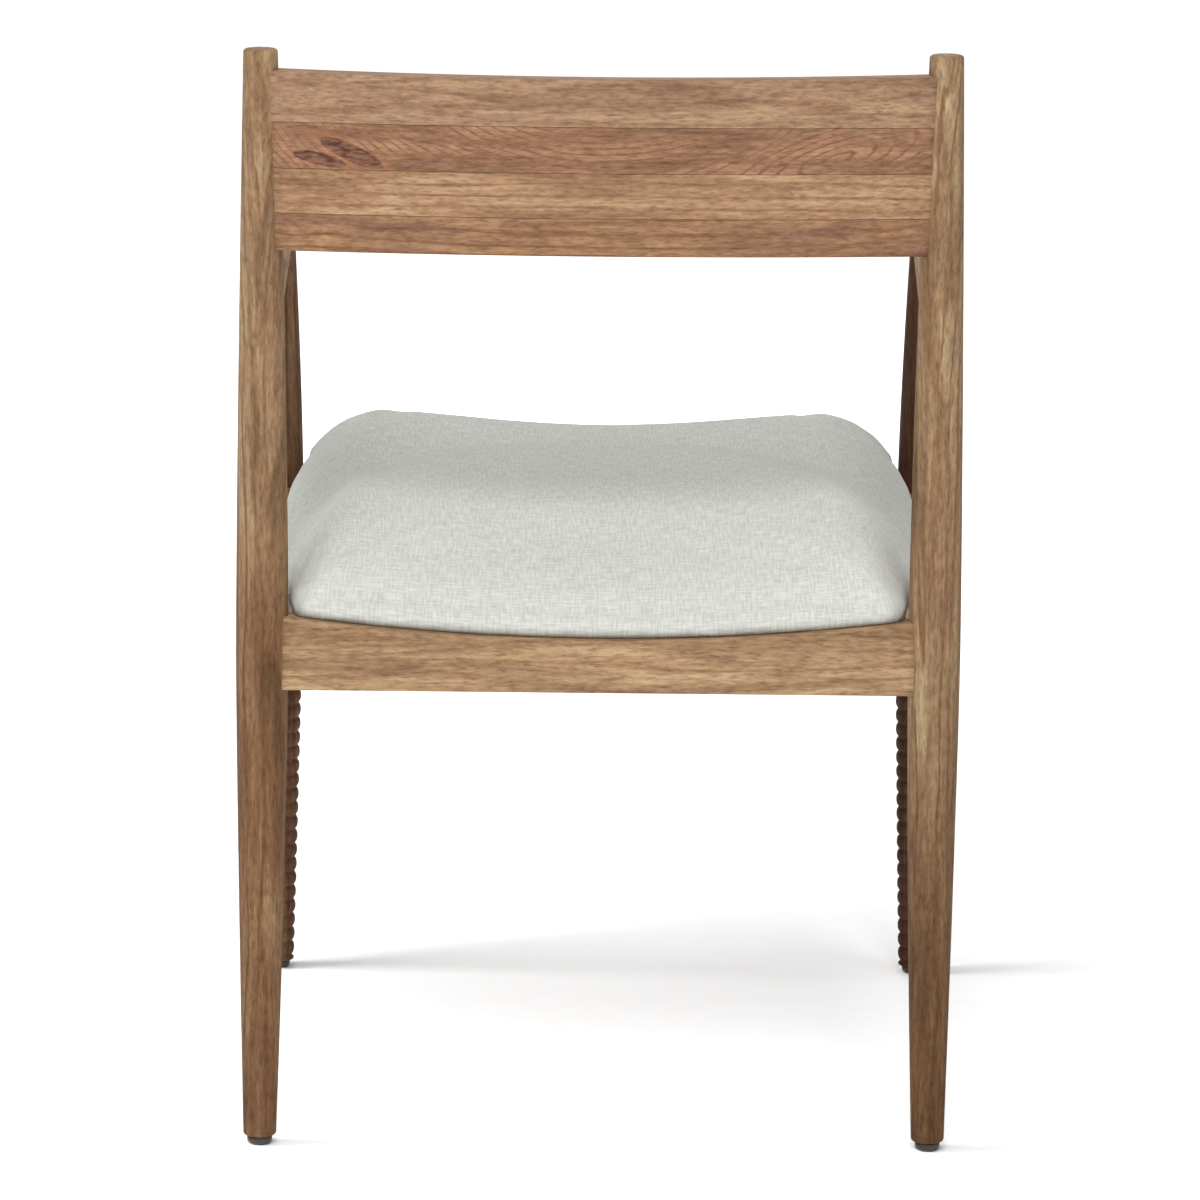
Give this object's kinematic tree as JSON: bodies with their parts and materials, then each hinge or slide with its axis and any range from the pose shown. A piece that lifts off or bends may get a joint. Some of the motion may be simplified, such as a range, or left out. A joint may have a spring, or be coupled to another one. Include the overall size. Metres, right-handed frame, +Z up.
{
  "type": "armchair",
  "caption": "Wooden armchair with round tapered posts, a bowed back slat, beaded front legs, slim armrests and a dished upholstered seat.",
  "frame": {"origin": "on the floor, below the middle of the whole chair in plan", "axes": "+Z up, the chair faces -Y, +X is the sitter's left"},
  "size_m": [0.5864, 0.608, 0.838],
  "materials": {
    "show_wood": "matt oiled, warm brown",
    "inner_wood": "raw",
    "plywood": "raw plywood",
    "foam": "open cell foam",
    "linen": "pale grey linen weave",
    "dust_cloth": "black spun cloth",
    "steel": "zinc plated",
    "glide_plastic": "dark moulded plastic"
  },
  "bodies": {
    "root": {"rear_leg_left": "show_wood", "front_leg_left": "show_wood", "rear_leg_right": "show_wood", "front_leg_right": "show_wood", "rear_rail": "show_wood", "front_rail": "show_wood", "side_rail_left": "show_wood", "side_rail_right": "show_wood", "back_slat_stave_1": "show_wood", "back_slat_stave_2": "show_wood", "back_slat_stave_3": "show_wood", "back_slat_stave_4": "show_wood", "armrest_left": "show_wood", "armrest_right": "show_wood", "slat_dowel_lower_left": "inner_wood", "slat_dowel_upper_left": "inner_wood", "arm_dowel_front_left": "inner_wood", "arm_dowel_rear_left": "inner_wood", "slat_dowel_lower_right": "inner_wood", "slat_dowel_upper_right": "inner_wood", "arm_dowel_front_right": "inner_wood", "arm_dowel_rear_right": "inner_wood", "corner_block_rear_left": "inner_wood", "corner_block_rear_right": "inner_wood", "corner_block_front_left": "inner_wood", "corner_block_front_right": "inner_wood", "seat_screw_rear_left": "steel", "side_block_screw_rear_left": "steel", "cross_block_screw_rear_left": "steel", "seat_screw_rear_right": "steel", "side_block_screw_rear_right": "steel", "cross_block_screw_rear_right": "steel", "seat_screw_front_left": "steel", "side_block_screw_front_left": "steel", "cross_block_screw_front_left": "steel", "seat_screw_front_right": "steel", "side_block_screw_front_right": "steel", "cross_block_screw_front_right": "steel", "seat_board": "plywood", "seat_foam": "foam", "seat_cover": "linen", "seat_dust_cover": "dust_cloth", "glide_rear_left": "glide_plastic", "glide_nail_rear_left": "steel", "glide_front_left": "glide_plastic", "glide_nail_front_left": "steel", "glide_rear_right": "glide_plastic", "glide_nail_rear_right": "steel", "glide_front_right": "glide_plastic", "glide_nail_front_right": "steel"}
  },
  "joints": []
}
